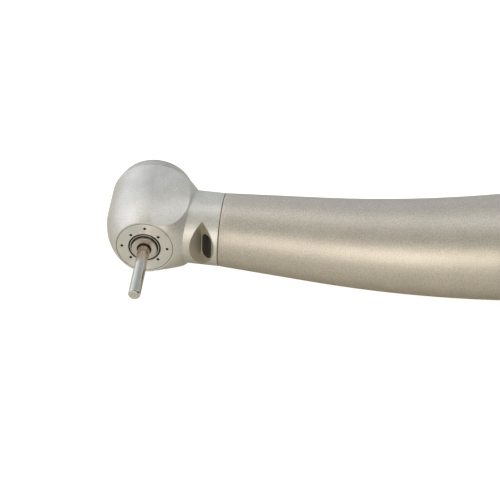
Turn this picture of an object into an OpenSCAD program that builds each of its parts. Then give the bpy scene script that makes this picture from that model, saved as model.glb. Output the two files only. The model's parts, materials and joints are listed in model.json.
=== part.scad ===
// High-speed air-turbine dental handpiece: a round head with a turbine cartridge and a
// push-button chuck, a short neck with a light window in a notch, and a handle that
// widens, bends and ends in a quick-coupling socket. A plain bur blank sits in the chuck.
// Frame: origin at the centre of the socket mouth, +X out of the mouth along the rear of
// the handle, +Z up with the handpiece lying on its side, the head cap toward +Y.

/* [Head] */
// Outer diameter of the head
head_d = 11.36; // [11.2:0.02:12.2]
// Height from the nose face to the cap seam
head_h = 10.9; // [10.8:0.05:11.3]
// Diameter of the flat nose rim
nose_d = 7.94; // [7.8:0.02:8.6]
// Height over which the nose swells to the full head
swell_h = 5.6; // [4.8:0.1:6.6]
// Largest distance of the shoulder between head and neck from the rotor axis
shoulder_r = 7.6; // [7.4:0.05:7.8]
// Angle by which each side of the head closes in toward the neck
side_close = 0.5; // [0.5:0.5:3]
// Angle by which the sides of the head rise toward the neck
side_rise = 22; // [18:0.5:24]

/* [Neck] */
// Diameter of the neck
neck_d = 9.74; // [9.6:0.02:10.1]
// Height of the neck axis above the nose face
neck_z = 5.69; // [5.5:0.01:5.9]
// Angle between the neck and the nose face
neck_tilt = 2.54; // [1.5:0.02:3.5]
// Distance from the rotor axis to the seam with the handle
neck_len = 9.74; // [9.6:0.02:10.6]
// Length of the spigot inside the handle
spigot_len = 6; // [5:0.1:7]
// Distance from the rotor axis to the bottom of the notch
notch_s = 7.47; // [7.3:0.01:7.6]
// Depth of the notch
notch_depth = 1.47; // [1.4:0.01:1.55]
// Angle of the notch's front face to the neck
notch_front = 45; // [40:1:50]
// Angle of the notch's rear face to the neck
notch_rear = 38.6; // [37:0.1:40]
// Length of the light window across the neck
window_len = 3.65; // [3.2:0.05:3.8]
// Height of the light window along the notch face
window_h = 1.72; // [1.5:0.02:1.8]

/* [Turbine] */
// Outer diameter of both bearings
bearing_od = 6.35; // [6.2:0.05:6.5]
// Inner diameter of both bearings
bearing_id = 3.175; // [3.1:0.025:3.25]
// Width of both bearings
bearing_w = 2.38; // [2.3:0.02:2.44]
// Diameter of a bearing ball
ball_d = 1; // [0.9:0.02:1.04]
// Number of balls in a bearing
ball_count = 7; // [6:1:8]
// Outer diameter of the impeller
impeller_d = 8.6; // [8.2:0.05:8.8]
// Width of the impeller
impeller_w = 3.2; // [2.8:0.05:3.25]
// Number of impeller buckets
bucket_count = 10; // [8:1:11]
// How far the spindle nose stands out of the nose face
nose_proud = 0.45; // [0.2:0.05:0.6]

/* [Bur blank] */
// Diameter of the bur blank
shank_d = 1.6; // [1.55:0.01:1.65]
// Length of the bur blank
shank_len = 19; // [18.5:0.1:19]
// Length of the bur blank outside the nose face
shank_out = 10.3; // [10.3:0.1:12]

/* [Spray plate] */
// Outer diameter of the spray plate
plate_d = 7.42; // [7.3:0.02:7.6]
// Thickness of the spray plate
plate_t = 0.9; // [0.7:0.05:0.95]
// Diameter of the opening in the spray plate
plate_bore_d = 4.3; // [4.2:0.02:4.36]
// Diameter of the circle through the outer spray holes
spray_wide_d = 5.96; // [5.8:0.02:6.1]
// Diameter of the circle through the inner spray holes
spray_close_d = 5.08; // [5:0.02:5.3]
// Diameter of a spray hole
spray_hole_d = 0.38; // [0.3:0.02:0.42]

/* [Cap and button] */
// Diameter of the cap at its rim
cap_rim_d = 10.38; // [10:0.02:10.8]
// Depth of the well that holds the button
well_h = 2.2; // [2.1:0.05:2.4]
// Diameter of the push button
button_d = 7; // [6.6:0.05:7.2]
// Travel of the push button
button_travel = 0.55; // [0.4:0.01:0.55]

/* [Handle] */
// Total bend between the neck and the rear of the handle
bend_angle = 20; // [16:0.5:24]
// Radius of the bend
bend_r = 108; // [100:1:118]
// Distance from the rotor axis to the start of the bend
neck_run = 22.4; // [20:0.1:25]
// Straight length behind the bend
tail_run = 46; // [43:0.5:54]
// Largest diameter of the handle
widest_d = 15.4; // [15:0.05:16]
// Distance along the handle from the rotor axis to the widest place
widest_s = 66; // [62:0.5:68]
// Length over which the taper rounds off to the widest place
crown_len = 16; // [12:0.5:20]
// Diameter at the rear end
tail_d = 13.8; // [13.6:0.05:14.4]
// Wall of the sheath
sheath_wall = 0.8; // [0.7:0.05:0.85]

/* [Coupling] */
// Diameter of the coupling socket
socket_d = 9; // [8.8:0.05:9.2]
// Depth of the coupling socket
socket_depth = 24; // [20:0.5:25]
// Thickness of the flange that closes the rear end
flange_t = 1.2; // [1:0.05:1.6]

/* [Lines] */
// Outer diameter of the drive air tube
drive_od = 1.9; // [1.8:0.02:2]
// Inner diameter of the drive air tube
drive_id = 1.4; // [1.2:0.02:1.5]
// Outer diameter of the water and chip air tubes
spray_od = 1.1; // [1:0.02:1.2]
// Inner diameter of the water and chip air tubes
spray_id = 0.7; // [0.6:0.02:0.8]
// Diameter of the light guide
guide_d = 2; // [1.8:0.02:2.06]
// Diameter of the exhaust passage in the neck
exhaust_d = 2.4; // [2:0.02:2.5]

/* [Fits] */
// Radial gap between pieces that are pressed or bonded together
seat_gap = 0.01; // [0.008:0.001:0.015]
// Radial gap between pieces that slide or turn on each other
run_gap = 0.02; // [0.015:0.001:0.03]
// Gap around pieces that are dropped into place
drop_gap = 0.05; // [0.04:0.005:0.06]

/* [Hidden] */
$fn = 96;

metal = [0.78, 0.77, 0.74];
steel = [0.70, 0.71, 0.73];
brass = [0.80, 0.68, 0.42];
rubber = [0.12, 0.12, 0.13];
amber = [0.62, 0.48, 0.30];
glass = [0.10, 0.10, 0.12];

// Radii that follow from the diameters above
head_r = head_d / 2;
nose_r = nose_d / 2;
neck_r = neck_d / 2;
plate_r = plate_d / 2;
plate_bore_r = plate_bore_d / 2;
shank_r = shank_d / 2;
ball_r = ball_d / 2;

// Arc of the nose's swell, and the shoulder's arc from inside the nose rim to inside the cap seam
shoulder_inset = 0.05;
swell_r = (pow(head_r - nose_r, 2) + swell_h * swell_h) / (2 * (head_r - nose_r));
shoulder_low = shoulder_r - nose_r + shoulder_inset;
shoulder_top = shoulder_r - head_r + shoulder_inset;
shoulder_lean = 1 - shoulder_top / shoulder_low;
shoulder_reach = head_h * head_h - shoulder_top * (shoulder_low - shoulder_top);
shoulder_z = (head_h - sqrt(head_h * head_h - shoulder_lean * shoulder_reach)) / shoulder_lean;
shoulder_arc = (shoulder_z * shoulder_z + shoulder_low * shoulder_low) / (2 * shoulder_low);

// Heights along the rotor axis, from the nose face toward the cap
channel_h = 0.4;
nose_wall = 0.45;
chamber_gap = 0.25;
rear_gap = 0.45;
washer_h = 0.2;
cap_floor_t = 0.3;
channel_top = plate_t + channel_h;
front_seat_z = channel_top + nose_wall;
front_bearing_z = front_seat_z + drop_gap;
front_bearing_top = front_bearing_z + bearing_w;
chamber_z = front_bearing_top + drop_gap;
impeller_z = chamber_z + chamber_gap;
impeller_top = impeller_z + impeller_w;
rear_bearing_z = impeller_top + rear_gap;
rear_bearing_top = rear_bearing_z + bearing_w;
cap_bottom_z = rear_bearing_z - drop_gap;
cap_floor_z = rear_bearing_top + washer_h;
well_z = cap_floor_z + cap_floor_t;
cap_top = well_z + well_h;

// Bores on the rotor axis
bearing_play = 0.125;
seal_wire_r = 0.26;
seal_width = 0.8;
chamber_clearance = 0.25;
thread_step = 0.2;
channel_step = 0.26;
rim_chamfer = 0.06;
bearing_r = bearing_od / 2;
seat_r = bearing_r + bearing_play;
seal_ring_r = bearing_r + run_gap + seal_wire_r;
seal_groove_r = seal_ring_r + seal_wire_r + run_gap;
chamber_r = impeller_d / 2 + chamber_clearance;
thread_r = chamber_r + thread_step;
channel_r = plate_r - channel_step;

// Bearing sections
inner_bore_r = bearing_id / 2;
pitch_r = (inner_bore_r + bearing_r) / 2;
race_r = ball_r + run_gap;
race_shoulder = 0.68 * ball_r;
cage_half = 0.52 * ball_r;
cage_margin = 0.3;
cage_w = ball_d + 2 * cage_margin;

// Spindle, chuck and plunger
chuck_wall = 0.36;
nose_step = 0.08;
spindle_past = 0.12;
collet_past = 0.3;
collet_cone_h = 0.25;
plunger_past = 0.3;
plunger_gap = 0.1;
spindle_r = inner_bore_r - seat_gap;
spindle_nose_r = inner_bore_r + nose_step;
spindle_top = rear_bearing_top + spindle_past;
spindle_bore_r = spindle_r - chuck_wall;
bur_hole_r = shank_r + run_gap;
mouth_chamfer = 0.16;
chuck_z = 2;
shank_end = shank_len - shank_out;
collet_top = shank_end + collet_past;
collet_slit = 0.2;
collet_jaw_len = 4.5;
plunger_ratio = 0.6;
plunger_travel = plunger_ratio * button_travel;
plunger_tip_z = max(shank_end, collet_top - collet_cone_h) + plunger_travel + plunger_gap;
plunger_tip_r = 0.7;
plunger_cone_h = 0.4;
plunger_cone_r = 1;
plunger_top = spindle_top + plunger_past;

// Dust ring on the spindle
dust_gap = 0.2;
dust_r = plate_bore_r - dust_gap;
dust_lip = 0.15;
dust_web_z = 0.8;

// Button and its ring and spring
button_flange = 0.5;
well_r = button_d / 2 + button_flange;
button_r = button_d / 2;
button_flange_r = well_r - 2 * drop_gap;
button_low = well_z + button_travel + drop_gap;
button_flange_t = 0.6;
ring_t = 0.2;
ring_low = button_low + button_flange_t + drop_gap;
ring_depth = 0.3;
ring_lip = 0.05;
button_proud = 0.15;
button_top = cap_top + button_proud;
button_post_r = 0.9;
button_post_low = plunger_top + button_travel - plunger_travel + run_gap;
spring_wire_r = 0.13;
spring_wide_r = 3.05;
spring_close_r = 1.95;
spring_turns = 1.8;
spring_room = 0.5;
cap_hole_r = 1.7;
cap_step = 0.03;
cap_seam = 0.08;
cap_base_r = head_r - cap_step;
cap_rim_r = cap_rim_d / 2;
cap_rim_h = 0.65;
cap_rim_cut = 0.6;

// Notch and light window, in the plane through the neck axis
notch_x = neck_r - notch_depth;
window_edge = 0.08;
window_corner = 0.95 * window_h / 2;
window_depth = 1.1;
window_mid = window_edge + window_h / 2;
guide_r = guide_d / 2;
elbow_bulge = 0.06;

// Places of the lines in the handle's section: toward the cap, up
drive_at = [0.3, 2.75];
exhaust_at = [0.3, -2.6];
exhaust_side = 3;
guide_at = [-2.5, 0];
water_at = [-2.3, 2.3];
chip_at = [-2.3, -2.3];
window_inward = (notch_x + window_mid * sin(notch_rear) + guide_at[0]) / cos(notch_rear);
guide_start = notch_s + window_mid * cos(notch_rear) + window_inward * sin(notch_rear);
spigot_end = neck_len + spigot_len;
tube_seat = 4;
tube_start = spigot_end - tube_seat;
passage_r = spray_id / 2;
passage_end = 4.4;
spray_turn = atan2(water_at[1], passage_end);
seal_depth = 0.8;
bush_wall = 0.35;

// Handle path: straight neck, one arc, straight tail
arc_len = bend_r * bend_angle * PI / 180;
path_len = neck_run + arc_len + tail_run;
bend_front = [-tail_run - bend_r * sin(bend_angle), bend_r * (1 - cos(bend_angle))];
neck_heading = [-cos(bend_angle), sin(bend_angle)];
head_turn = bend_angle - neck_tilt;
cap_heading = [sin(head_turn), cos(head_turn)];
rotor_foot = bend_front + neck_run * neck_heading - neck_z * cap_heading;

// Handle section
widest_r = widest_d / 2;
tail_r = tail_d / 2;
taper = (widest_r - neck_r) / (widest_s - crown_len / 2 - neck_len);
spigot_lap = 0.15;
spigot_r = neck_r - sheath_wall + spigot_lap;
sheath_sides = 48;
outer_steps = 44;
inner_steps = 28;
seam_chamfer = 0.07;
ring_wire_r = 0.13;
ring_groove_w = 0.5;
neck_ring_back = 2.25;
tail_ring_in = 4.25;
socket_body_r = tail_r - sheath_wall - drop_gap;
socket_r = socket_d / 2;
manifold_plug = 3;
manifold_t = 6;
manifold_end = socket_depth + manifold_t;
manifold_lip = 0.7;
manifold_room = 1.5;
manifold_r = socket_r + manifold_lip;
socket_zone = path_len - manifold_end - manifold_room;
latch_depth = 8;
latch_w = 1.2;
latch_cut = 0.3;
spacer_back = 6;
spacer_depth = tail_run - spacer_back;
spacer_t = 2;
spacer_r = radius_at(path_len - spacer_depth) - sheath_wall - 2 * drop_gap;

// Radius of the sheath's outside at a distance along the path
function radius_at(s) =
    s < widest_s - crown_len ? neck_r + taper * (s - neck_len)
    : s < widest_s ? widest_r - taper / (2 * crown_len) * pow(widest_s - s, 2)
    : widest_r - (widest_r - tail_r) * pow((s - widest_s) / (path_len - widest_s), 2);

// Radius of the sheath's inside at a distance along the path
function bore_at(s) =
    s < spigot_end + 0.5 ? spigot_r + drop_gap
    : s > socket_zone ? socket_body_r + drop_gap
    : radius_at(s) - sheath_wall;

// Angle between the path and the rear of the handle
function turn_at(s) = bend_angle * min(1, max(0, 1 - (s - neck_run) / arc_len));

// Point on the path at a distance from the rotor axis
function path_at(s) =
    s < neck_run ? bend_front + (neck_run - s) * neck_heading
    : s > neck_run + arc_len ? [s - path_len, 0]
    : [-tail_run - bend_r * sin(turn_at(s)), bend_r * (1 - cos(turn_at(s)))];

// Point on a circle of radius r around the path
function around_path(s, r, a) =
    let (p = path_at(s), t = turn_at(s))
    [p[0] + r * cos(a) * sin(t), p[1] + r * cos(a) * cos(t), r * sin(a)];

// Triangles of a tube whose rings of n points follow one another, closed at the end
function ring_faces(rings, n) = [
    for (i = [0 : rings - 1], k = [0 : n - 1])
        let (j = (i + 1) % rings, m = (k + 1) % n)
        each [[i * n + k, j * n + m, j * n + k], [i * n + k, i * n + m, j * n + m]]
];

// Triangles of a rod whose rings of n points follow one another, with flat ends
function rod_faces(rings, n) = concat(
    [for (i = [0 : rings - 2], k = [0 : n - 1])
        let (m = (k + 1) % n)
        each [[i * n + k, (i + 1) * n + m, (i + 1) * n + k], [i * n + k, i * n + m, (i + 1) * n + m]]],
    [[for (k = [n - 1 : -1 : 0]) k]],
    [[for (k = [0 : n - 1]) (rings - 1) * n + k]]
);

// Rotor frame: +Z from the nose face to the cap, +X toward the neck
module at_rotor() {
    translate([rotor_foot[0], rotor_foot[1], 0])
        rotate([0, 0, -head_turn])
            rotate([-90, 0, 0])
                children();
}

// Neck frame: +Z along the neck from the rotor axis, +X toward the nose side
module at_neck() {
    at_rotor()
        translate([0, 0, neck_z])
            rotate([0, 90 + neck_tilt, 0])
                children();
}

// Socket frame: +Z into the socket from its mouth, +Y toward the cap side, +X up
module at_socket() {
    rotate([0, -90, 0])
        children();
}

// Window frame: +Z out of the notch's rear face, -X up that face from the notch bottom
module at_window() {
    at_neck()
        translate([notch_x, 0, notch_s])
            rotate([0, 90 + notch_rear, 0])
                children();
}

module ring(r_in, r_out, low, high) {
    translate([0, 0, low])
        linear_extrude(high - low)
            difference() {
                circle(r = r_out);
                circle(r = r_in);
            }
}

module seal(ring_r, wire_r, z) {
    translate([0, 0, z])
        rotate_extrude()
            translate([ring_r, 0])
                circle(r = wire_r);
}

// Half outline of the head seen along a line that rises by an angle, set back by inset, from
// a lowest height up
module swell(rise, inset, back, low) {
    top_r = head_r - inset;
    h = swell_h * cos(rise);
    arc_r = swell_r - (swell_r - head_r) * pow(sin(rise), 2);
    translate([back, h])
        square([top_r - back, head_h + 3 - h]);
    intersection() {
        translate([top_r - arc_r, h])
            circle(r = arc_r, $fn = 360);
        translate([back, low])
            square([top_r - back, h - low]);
    }
}

// One side of the head, run on toward the neck
module head_side() {
    blend_step = 0.02;
    rotate([0, 0, 90 - side_close])
        rotate([90 - side_rise, 0, 0])
            translate([0, 0, -4])
                linear_extrude(18)
                    swell(side_rise, blend_step, -12, -3);
}

// Turned bulge that both sides are cut from
module shoulder() {
    rotate_extrude()
        intersection() {
            translate([shoulder_r - shoulder_arc, shoulder_z])
                circle(r = shoulder_arc, $fn = 360);
            square([2 * shoulder_r, head_h]);
        }
}

module head_body() {
    start_x = 0.75;
    start_lean = 3.4;
    intersection() {
        rotate_extrude()
            swell(0, 0, 0, 0);
        translate([-10, -10, 0])
            cube([20, 20, head_h]);
    }
    intersection() {
        shoulder();
        head_side();
        mirror([0, 1, 0])
            head_side();
        rotate([0, -start_lean, 0])
            translate([start_x, -10, -2])
                cube([14, 20, head_h + 4]);
    }
}

module neck_body() {
    translate([0, 0, neck_z])
        rotate([0, 90 + neck_tilt, 0])
            rotate_extrude()
                polygon([
                    [0, 0], [neck_r, 0], [neck_r, neck_len - seam_chamfer],
                    [neck_r - seam_chamfer, neck_len], [spigot_r, neck_len],
                    [spigot_r, spigot_end - seam_chamfer], [spigot_r - seam_chamfer, spigot_end],
                    [0, spigot_end]
                ]);
}

module rotor_bores() {
    rotate_extrude()
        polygon([
            [0, -1], [plate_r + seat_gap + rim_chamfer, -1], [plate_r + seat_gap + rim_chamfer, 0],
            [plate_r + seat_gap, rim_chamfer], [plate_r + seat_gap, plate_t],
            [channel_r, plate_t], [channel_r, channel_top], [plate_bore_r, channel_top],
            [plate_bore_r, front_seat_z], [seat_r, front_seat_z],
            [seat_r, seal_low(front_bearing_z)], [seal_groove_r, seal_low(front_bearing_z)],
            [seal_groove_r, seal_high(front_bearing_z)], [seat_r, seal_high(front_bearing_z)],
            [seat_r, chamber_z], [chamber_r, chamber_z], [chamber_r, cap_bottom_z],
            [thread_r, cap_bottom_z], [thread_r, head_h + 1], [0, head_h + 1]
        ]);
}

// Bottom and top of the rubber ring's groove around a bearing that starts at z
function seal_low(z) = z + (bearing_w - seal_width) / 2;
function seal_high(z) = z + (bearing_w + seal_width) / 2;

// Round hole along the neck from one distance to another
module neck_hole(at, r, from, to) {
    translate([-at[0], -at[1], from])
        cylinder(r = r, h = to - from);
}

module notch() {
    reach = 4;
    translate([0, 10, 0])
        rotate([90, 0, 0])
            linear_extrude(20)
                polygon([
                    [notch_x, notch_s],
                    [notch_x + reach * sin(notch_rear), notch_s + reach * cos(notch_rear)],
                    [notch_x + reach * sin(notch_front), notch_s - reach * cos(notch_front)]
                ]);
}

module window_outline(grow) {
    c = window_corner;
    w = window_len / 2;
    h = window_h / 2;
    square([2 * h - 2 * c, 2 * w + 2 * grow], center = true);
    square([2 * h + 2 * grow, 2 * w - 2 * c], center = true);
    for (i = [-1, 1], j = [-1, 1])
        translate([i * (h - c), j * (w - c)])
            circle(r = c + grow);
}

// Window made larger by grow, and open to the front where it is a recess
module window_block(grow) {
    translate([-window_mid, 0, -window_depth - grow])
        linear_extrude(window_depth + grow + (grow > 0 ? 1 : 0))
            window_outline(grow);
}

// Round elbow and short rod up to the back of the window
module guide_bend(grow) {
    elbow_r = guide_r + elbow_bulge + grow;
    rise = window_inward - window_depth - drop_gap + grow;
    translate([-window_mid, 0, -window_inward]) {
        cylinder(r = guide_r + grow, h = rise);
        intersection() {
            sphere(r = elbow_r);
            translate([0, 0, -2 * elbow_r])
                cylinder(r = 2 * elbow_r, h = 2 * elbow_r + rise);
        }
    }
}

// Slanting hole from a spray line down to the channel behind the spray plate
module spray_feed(side) {
    top = [passage_end, side * water_at[1], neck_z + water_at[0] - passage_end * sin(neck_tilt)];
    foot_r = channel_r - 0.25;
    foot = [foot_r * cos(spray_turn + 6), side * foot_r * sin(spray_turn + 6), plate_t + 0.15];
    run = foot - top;
    translate(top)
        rotate([0, acos(run[2] / norm(run)), atan2(run[1], run[0])])
            cylinder(r = passage_r, h = norm(run));
    translate(top)
        sphere(r = passage_r + 0.04);
}

module head_housing() {
    color(metal)
        difference() {
            at_rotor() {
                head_body();
                neck_body();
            }
            at_rotor() {
                rotor_bores();
                spray_feed(1);
                spray_feed(-1);
            }
            at_neck() {
                notch();
                neck_hole(drive_at, drive_id / 2 - 0.1, 2.6, spigot_end + 1);
                neck_hole(drive_at, drive_od / 2 + seat_gap, tube_start, spigot_end + 1);
                neck_hole(exhaust_at, exhaust_d / 2, 2.6, spigot_end + 1);
                neck_hole(guide_at, guide_r + seat_gap, guide_start, spigot_end + 1);
                for (line_at = [water_at, chip_at]) {
                    neck_hole(line_at, passage_r, passage_end, spigot_end + 1);
                    neck_hole(line_at, spray_od / 2 + seat_gap, tube_start, spigot_end + 1);
                }
                ring(spigot_r - 2 * ring_wire_r + run_gap, spigot_r + 1,
                     spigot_end - neck_ring_back - ring_groove_w / 2,
                     spigot_end - neck_ring_back + ring_groove_w / 2);
            }
            at_window() {
                window_block(seat_gap);
                guide_bend(seat_gap);
            }
        }
}

module spray_plate() {
    hub_wall = 0.12;
    color(metal)
        at_rotor()
            difference() {
                rotate_extrude()
                    polygon([
                        [plate_bore_r, 0], [plate_r - rim_chamfer, 0], [plate_r, rim_chamfer],
                        [plate_r, plate_t], [plate_bore_r + hub_wall, plate_t],
                        [plate_bore_r + hub_wall, channel_top], [plate_bore_r, channel_top]
                    ]);
                for (i = [0 : 7])
                    rotate([0, 0, 45 * i])
                        translate([(i % 2 == 0 ? spray_wide_d : spray_close_d) / 2, 0, -1])
                            cylinder(d = spray_hole_d, h = plate_t + 2);
            }
}

module dust_ring() {
    color(steel)
        at_rotor()
            rotate_extrude()
                polygon([
                    [dust_r - dust_lip, 0], [dust_r, 0], [dust_r, front_seat_z],
                    [spindle_nose_r + seat_gap, front_seat_z],
                    [spindle_nose_r + seat_gap, dust_web_z], [dust_r - dust_lip, dust_web_z]
                ]);
}

module spindle() {
    color(steel)
        at_rotor()
            rotate_extrude()
                polygon([
                    [bur_hole_r + mouth_chamfer, -nose_proud], [spindle_nose_r, -nose_proud],
                    [spindle_nose_r, front_seat_z], [spindle_r, front_seat_z],
                    [spindle_r, spindle_top], [spindle_bore_r, spindle_top],
                    [spindle_bore_r, chuck_z], [bur_hole_r, chuck_z],
                    [bur_hole_r, mouth_chamfer - nose_proud]
                ]);
}

module impeller() {
    hub_r = inner_bore_r + 0.36;
    slot_r = 0.75;
    slot_back = 1.15;
    slot_lean = 20;
    color(brass)
        at_rotor() {
            translate([0, 0, impeller_z])
                linear_extrude(impeller_w)
                    difference() {
                        circle(d = impeller_d);
                        circle(r = spindle_r + seat_gap);
                        for (i = [0 : bucket_count - 1])
                            rotate(i * 360 / bucket_count)
                                translate([impeller_d / 2 - slot_back, 0])
                                    rotate(slot_lean) {
                                        circle(r = slot_r);
                                        translate([0, -slot_r])
                                            square([impeller_d / 2, 2 * slot_r]);
                                    }
                    }
            ring(spindle_r + seat_gap, hub_r, front_bearing_top + run_gap, rear_bearing_z - run_gap);
        }
}

module collet() {
    slits = 3;
    color(steel)
        at_rotor()
            difference() {
                rotate_extrude()
                    polygon([
                        [shank_r + run_gap, chuck_z + drop_gap],
                        [spindle_bore_r - seat_gap, chuck_z + drop_gap],
                        [spindle_bore_r - seat_gap, collet_top], [plunger_cone_r, collet_top],
                        [shank_r + run_gap, collet_top - collet_cone_h]
                    ]);
                for (i = [0 : slits - 1])
                    rotate([0, 0, i * 360 / slits])
                        translate([0, -collet_slit / 2, chuck_z - 1])
                            cube([2 * spindle_r, collet_slit, collet_jaw_len + 1]);
            }
}

module chuck_plunger() {
    color(steel)
        at_rotor()
            rotate_extrude()
                polygon([
                    [0, plunger_tip_z], [plunger_tip_r, plunger_tip_z],
                    [plunger_cone_r, plunger_tip_z + plunger_cone_h],
                    [spindle_bore_r - run_gap, plunger_tip_z + plunger_cone_h],
                    [spindle_bore_r - run_gap, plunger_top], [0, plunger_top]
                ]);
}

module bur_blank() {
    end_chamfer = 0.2;
    color(steel)
        at_rotor()
            rotate_extrude()
                polygon([
                    [0, -shank_out], [shank_r - end_chamfer, -shank_out], [shank_r, end_chamfer - shank_out],
                    [shank_r, shank_end - end_chamfer], [shank_r - end_chamfer, shank_end], [0, shank_end]
                ]);
}

module bearing_outer(z) {
    color(steel)
        at_rotor()
            translate([0, 0, z])
                rotate_extrude()
                    difference() {
                        translate([pitch_r + race_shoulder, 0])
                            square([bearing_r - pitch_r - race_shoulder, bearing_w]);
                        translate([pitch_r, bearing_w / 2])
                            circle(r = race_r);
                    }
}

module bearing_inner(z) {
    color(steel)
        at_rotor()
            translate([0, 0, z])
                rotate_extrude()
                    difference() {
                        translate([inner_bore_r, 0])
                            square([pitch_r - race_shoulder - inner_bore_r, bearing_w]);
                        translate([pitch_r, bearing_w / 2])
                            circle(r = race_r);
                    }
}

// Round window for each ball, drilled from the bearing axis outward
module bearing_cage(z) {
    mid = z + bearing_w / 2;
    color(amber)
        at_rotor()
            difference() {
                ring(pitch_r - cage_half, pitch_r + cage_half, mid - cage_w / 2, mid + cage_w / 2);
                for (i = [0 : ball_count - 1])
                    rotate([0, 0, i * 360 / ball_count])
                        translate([1, 0, mid])
                            rotate([0, 90, 0])
                                cylinder(r = ball_r + run_gap, h = bearing_r);
            }
}

module bearing_balls(z) {
    color(steel)
        at_rotor()
            for (i = [0 : ball_count - 1])
                rotate([0, 0, i * 360 / ball_count])
                    translate([pitch_r, 0, z + bearing_w / 2])
                        sphere(r = ball_r);
}

module bearing_seal(z) {
    color(rubber)
        at_rotor()
            seal(seal_ring_r, seal_wire_r, z + bearing_w / 2);
}

module front_outer_ring() {
    bearing_outer(front_bearing_z);
}

module front_inner_ring() {
    bearing_inner(front_bearing_z);
}

module front_cage() {
    bearing_cage(front_bearing_z);
}

module front_balls() {
    bearing_balls(front_bearing_z);
}

module rear_outer_ring() {
    bearing_outer(rear_bearing_z);
}

module rear_inner_ring() {
    bearing_inner(rear_bearing_z);
}

module rear_cage() {
    bearing_cage(rear_bearing_z);
}

module rear_balls() {
    bearing_balls(rear_bearing_z);
}

module front_bearing_seal() {
    bearing_seal(front_bearing_z);
}

module rear_bearing_seal() {
    bearing_seal(rear_bearing_z);
}

// Wavy ring between the rear bearing and the cap floor
module preload_washer() {
    steps = 72;
    waves = 3;
    t = 0.08;
    lift = (washer_h - t) / 2 - run_gap;
    mid = rear_bearing_top + washer_h / 2;
    r_in = pitch_r + race_shoulder;
    r_out = bearing_r - drop_gap;
    corners = [[r_in, -t / 2], [r_out, -t / 2], [r_out, t / 2], [r_in, t / 2]];
    points = [
        for (i = [0 : steps - 1], c = corners)
            let (a = i * 360 / steps)
            [c[0] * cos(a), c[0] * sin(a), mid + c[1] + lift * cos(waves * a)]
    ];
    color(steel)
        at_rotor()
            polyhedron(points, ring_faces(steps, 4));
}

module head_cap() {
    color(metal)
        at_rotor()
            rotate_extrude()
                polygon([
                    [seat_r, cap_bottom_z + run_gap], [thread_r - run_gap, cap_bottom_z + run_gap],
                    [thread_r - run_gap, head_h], [cap_base_r - cap_seam, head_h],
                    [cap_base_r, head_h + cap_seam],
                    [cap_rim_r, cap_top - cap_rim_h], [cap_rim_r - cap_rim_cut, cap_top],
                    [well_r, cap_top], [well_r, ring_low + ring_t + ring_lip],
                    [well_r + ring_depth, ring_low + ring_t + ring_lip],
                    [well_r + ring_depth, ring_low - ring_lip],
                    [well_r, ring_low - ring_lip], [well_r, well_z], [cap_hole_r, well_z],
                    [cap_hole_r, cap_floor_z], [seat_r, cap_floor_z],
                    [seat_r, seal_high(rear_bearing_z)], [seal_groove_r, seal_high(rear_bearing_z)],
                    [seal_groove_r, seal_low(rear_bearing_z)], [seat_r, seal_low(rear_bearing_z)]
                ]);
}

module push_button() {
    edge = 0.25;
    spring_top = button_low + spring_room;
    color(metal)
        at_rotor()
            rotate_extrude()
                polygon([
                    [0, button_post_low], [button_post_r, button_post_low],
                    [button_post_r, spring_top], [spring_wide_r + 0.3, spring_top],
                    [spring_wide_r + 0.3, button_low], [button_flange_r, button_low],
                    [button_flange_r, button_low + button_flange_t],
                    [button_r, button_low + button_flange_t], [button_r, button_top - edge],
                    [button_r - edge, button_top], [0, button_top]
                ]);
}

// Split ring that keeps the button in its well
module button_ring() {
    split = 1.2;
    color(steel)
        at_rotor()
            difference() {
                ring(button_r + drop_gap, well_r + ring_depth - drop_gap, ring_low, ring_low + ring_t);
                translate([0, -split / 2, ring_low - 1])
                    cube([2 * well_r, split, 3]);
            }
}

// Conical coil between the cap floor and the button
module button_spring() {
    wire_sides = 8;
    steps = 44;
    low = well_z + spring_wire_r + run_gap;
    high = button_low + spring_room - spring_wire_r - run_gap;
    points = [
        for (i = [0 : steps], k = [0 : wire_sides - 1])
            let (
                f = i / steps,
                a = f * spring_turns * 360,
                b = k * 360 / wire_sides,
                r = spring_wide_r + (spring_close_r - spring_wide_r) * f + spring_wire_r * cos(b)
            )
            [r * cos(a), r * sin(a), low + (high - low) * f + spring_wire_r * sin(b)]
    ];
    color(steel)
        at_rotor()
            polyhedron(points, rod_faces(steps + 1, wire_sides));
}

module light_window() {
    color(glass)
        at_window()
            window_block(0);
}

// A round line through the handle, from a distance along the neck to a depth in the socket.
// A short sleeve covers each end of the bend.
module line_run(at, r, from, depth) {
    sleeve_r = r + 0.03;
    sleeve = 0.4;
    at_neck() {
        neck_hole(at, r, from, neck_run);
        neck_hole(at, sleeve_r, neck_run - sleeve, neck_run + sleeve);
    }
    translate([-tail_run, bend_r, 0])
        rotate([0, 0, -90 - bend_angle])
            rotate_extrude(angle = bend_angle)
                translate([bend_r - at[0], at[1]])
                    circle(r = r);
    at_socket()
        translate([at[1], at[0], 0]) {
            translate([0, 0, depth])
                cylinder(r = r, h = tail_run - depth);
            translate([0, 0, tail_run - sleeve])
                cylinder(r = sleeve_r, h = 2 * sleeve);
        }
}

module tube(at, od, id) {
    depth = socket_depth + seal_depth + run_gap;
    difference() {
        line_run(at, od / 2, tube_start + run_gap, depth);
        line_run(at, id / 2, tube_start - 1, depth - 1);
    }
}

module light_guide() {
    color(amber) {
        line_run(guide_at, guide_r, guide_start, socket_depth + run_gap);
        at_window()
            guide_bend(0);
    }
}

module drive_air_tube() {
    color(steel)
        tube(drive_at, drive_od, drive_id);
}

module water_tube() {
    color(steel)
        tube(water_at, spray_od, spray_id);
}

module chip_air_tube() {
    color(steel)
        tube(chip_at, spray_od, spray_id);
}

module neck_seal() {
    color(rubber)
        at_neck()
            seal(spigot_r - ring_wire_r + 2 * run_gap, ring_wire_r, spigot_end - neck_ring_back);
}

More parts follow.
